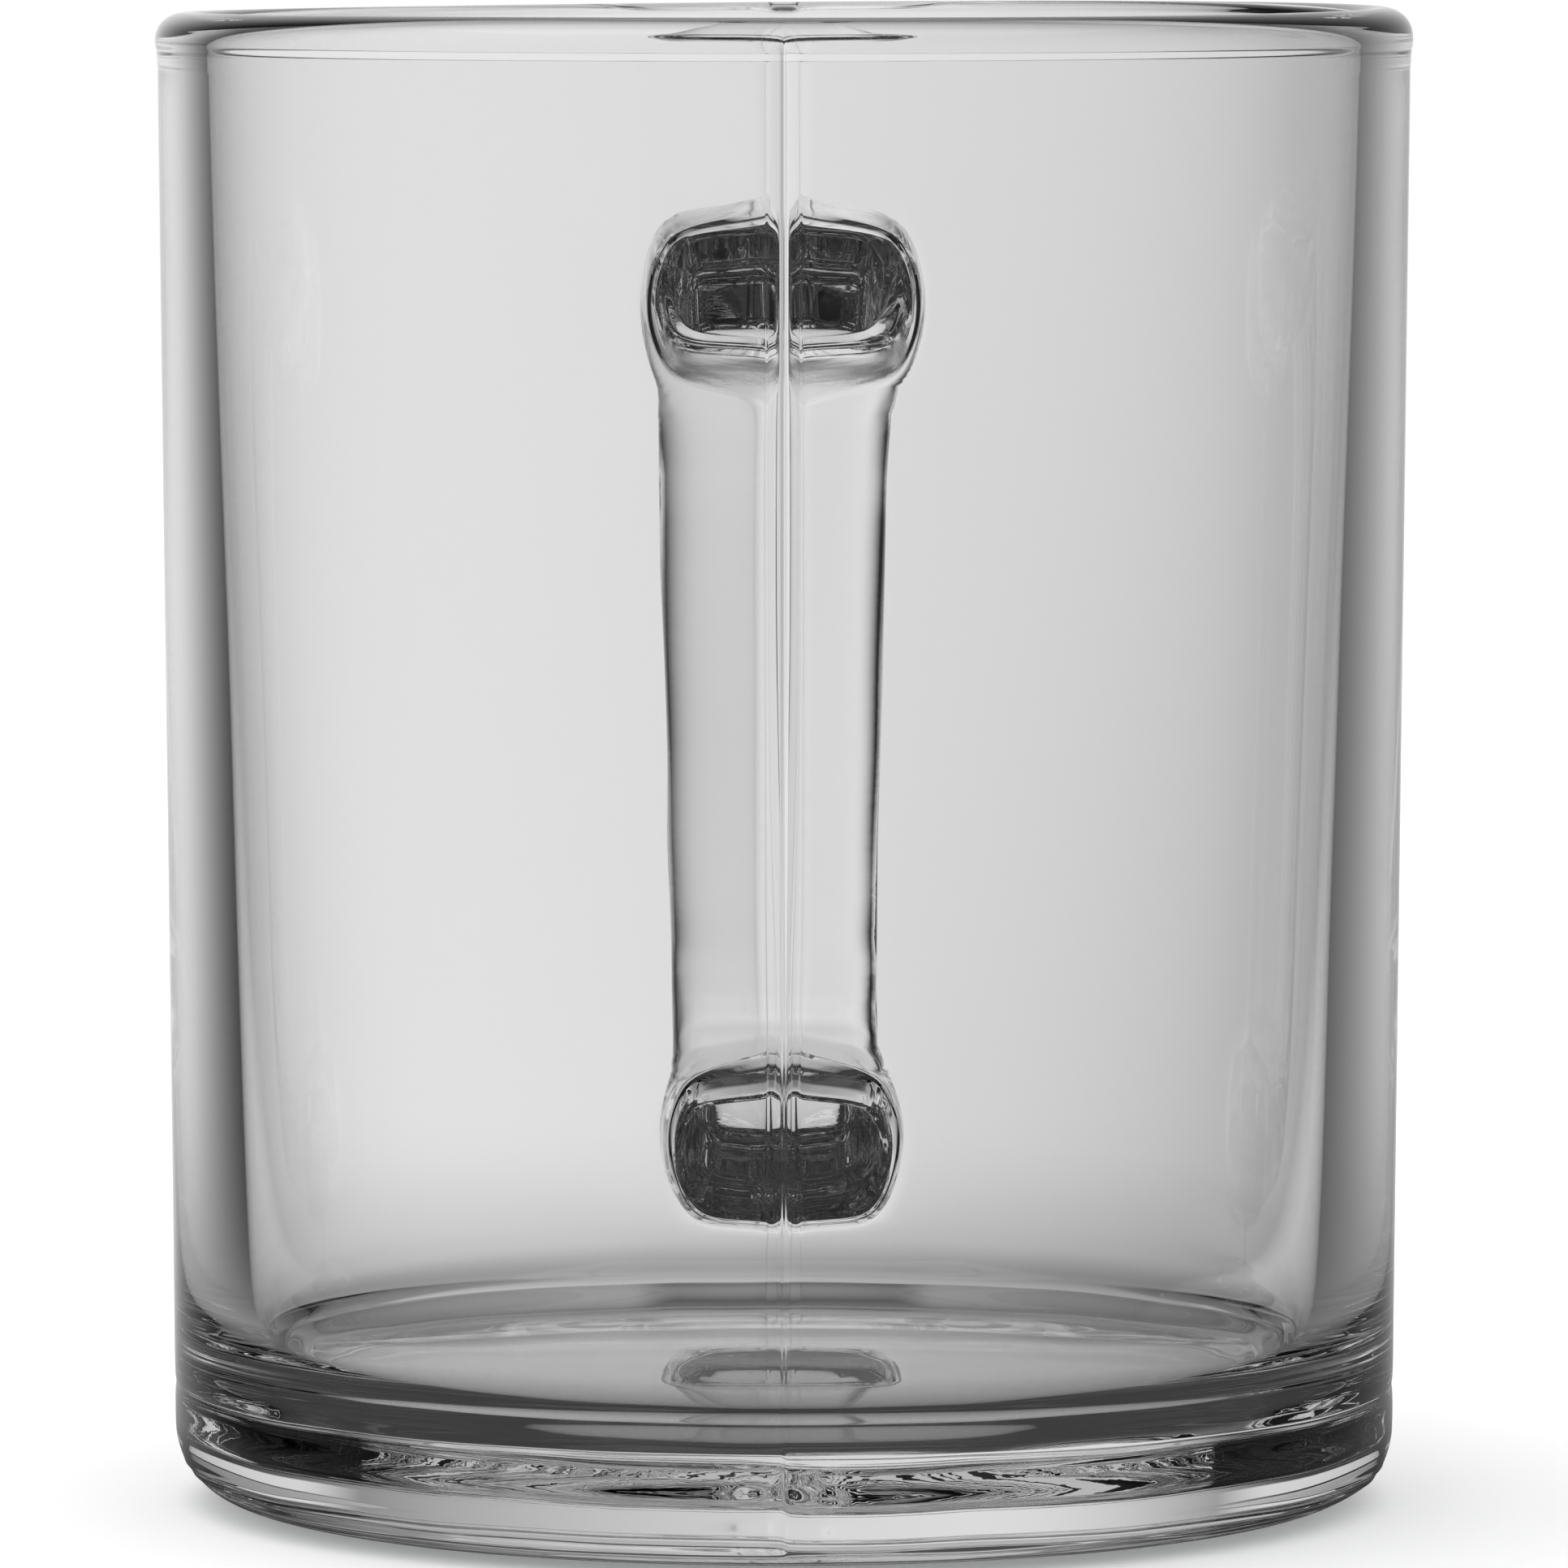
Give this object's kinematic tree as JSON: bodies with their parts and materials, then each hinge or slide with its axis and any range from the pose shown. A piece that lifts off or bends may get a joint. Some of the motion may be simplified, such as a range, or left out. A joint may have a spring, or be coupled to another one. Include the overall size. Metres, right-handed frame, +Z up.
{
  "type": "glass mug",
  "caption": "Clear pressed-glass mug: straight, slightly tapered bowl with a thick rounded base, a fire-polished rim and a D-shaped finger handle, for hot or cold drinks.",
  "frame": {"origin": "where the bowl's axis meets the table, at the centre of the flat underside", "axes": "+Z up along the bowl's axis, +Y from the axis towards the handle, +X across the handle"},
  "size_m": [0.08, 0.1127, 0.0954],
  "materials": {
    "clear_glass": "fire-polished clear soda-lime glass, glossy"
  },
  "bodies": {
    "root": {"rim": "clear_glass", "side_wall": "clear_glass", "base": "clear_glass", "handle_upper_root": "clear_glass", "handle_upper_arm": "clear_glass", "handle_grip": "clear_glass", "handle_lower_arm": "clear_glass", "handle_lower_root": "clear_glass"}
  },
  "joints": []
}
